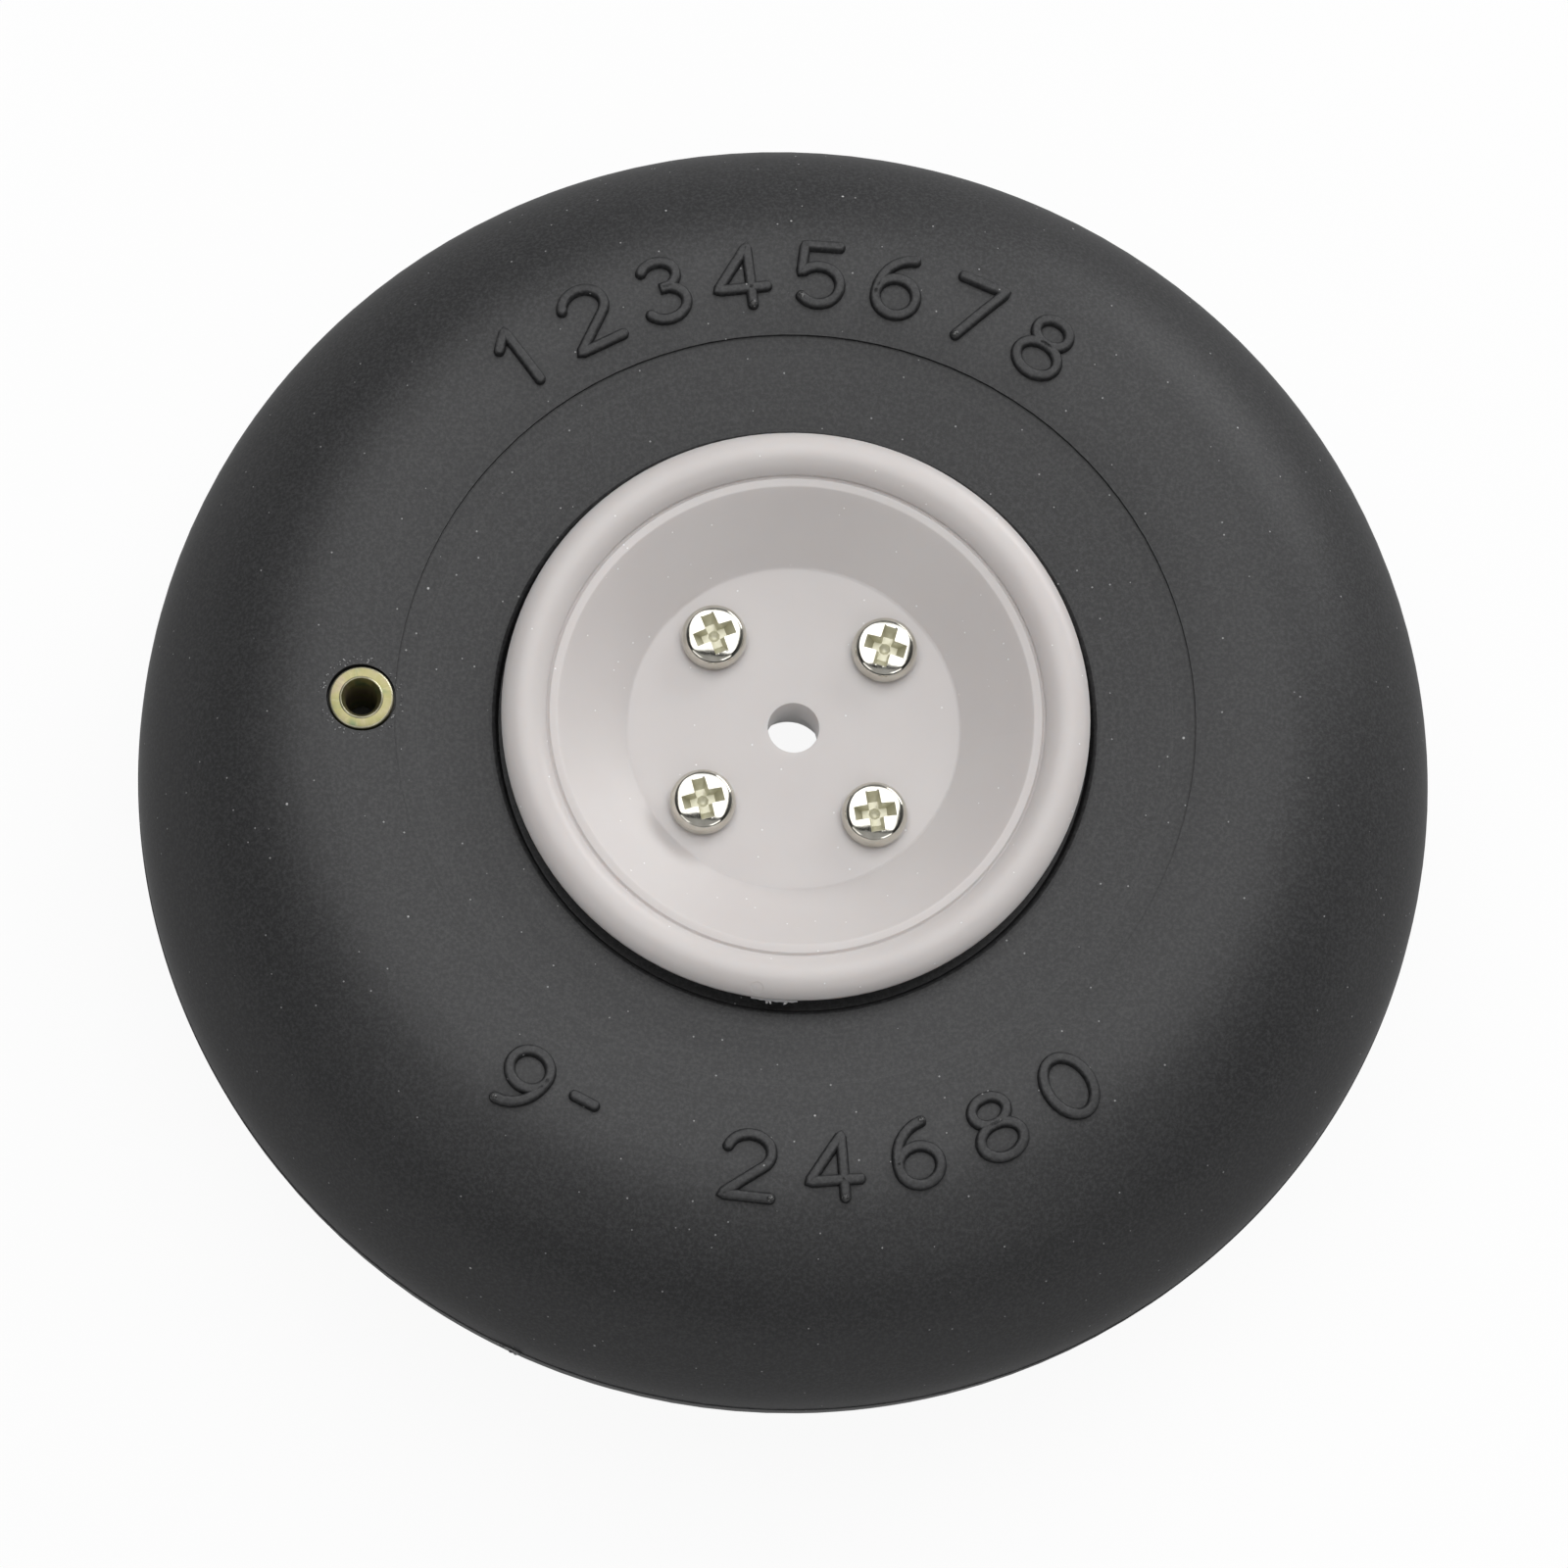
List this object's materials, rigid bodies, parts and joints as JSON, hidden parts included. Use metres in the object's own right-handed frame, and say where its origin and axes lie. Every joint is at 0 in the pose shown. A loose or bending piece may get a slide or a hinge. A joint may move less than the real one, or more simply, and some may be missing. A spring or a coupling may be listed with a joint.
{
  "type": "aircraft wheel",
  "caption": "Inflatable model aircraft wheel: hollow rubber balloon tyre on a bolted split plastic hub with a conical dish, plain axle bore and needle valve.",
  "frame": {"origin": "centre of the wheel, on its axis and on the tyre's mid-plane", "axes": "+Z along the wheel's axis towards the dished front face; +X midway between two screws, away from the valve"},
  "size_m": [0.102, 0.102, 0.0362],
  "materials": {
    "tyre_rubber": "matte moulded rubber",
    "hub_plastic": "satin moulded plastic",
    "screw_steel": "nickel plated",
    "nut_steel": "nickel plated",
    "valve_metal": "yellow zinc plated",
    "plug_rubber": "matte rubber"
  },
  "bodies": {
    "root": {"tyre": "tyre_rubber", "hub_front": "hub_plastic", "hub_rear": "hub_plastic", "hub_screws": "screw_steel", "hub_nuts": "nut_steel", "valve_insert": "valve_metal", "valve_plug": "plug_rubber"}
  },
  "joints": []
}
